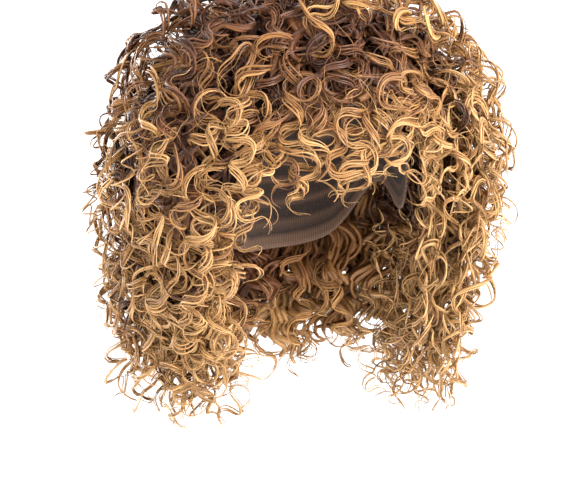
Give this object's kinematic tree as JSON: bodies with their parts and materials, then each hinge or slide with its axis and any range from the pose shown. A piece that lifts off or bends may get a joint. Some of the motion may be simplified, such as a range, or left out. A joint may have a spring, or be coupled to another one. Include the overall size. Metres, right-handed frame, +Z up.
{
  "type": "curly wig",
  "caption": "Shoulder-length curly wig with a fringe, brown at the roots and honey-blonde at the ends, sewn in sections to a thin knitted cap that grips the head.",
  "frame": {"origin": "the inside of the cap at the crown, where the top of the head meets it", "axes": "+Z up along the head, -Y towards the face opening, +X to the wearer's left"},
  "size_m": [0.3478, 0.2954, 0.3465],
  "materials": {
    "cap_knit": "matt knitted elastic net with rows of sewn wefts",
    "hair_brown": "satin synthetic hair fibre, brown at the roots",
    "hair_blonde": "satin synthetic hair fibre, honey blonde"
  },
  "bodies": {
    "root": {"cap": "cap_knit", "fringe_hair": "hair_blonde", "crown_hair": "hair_brown", "side_hair_right": "hair_blonde", "side_hair_left": "hair_blonde", "back_hair": "hair_blonde", "nape_hair": "hair_brown"}
  },
  "joints": []
}
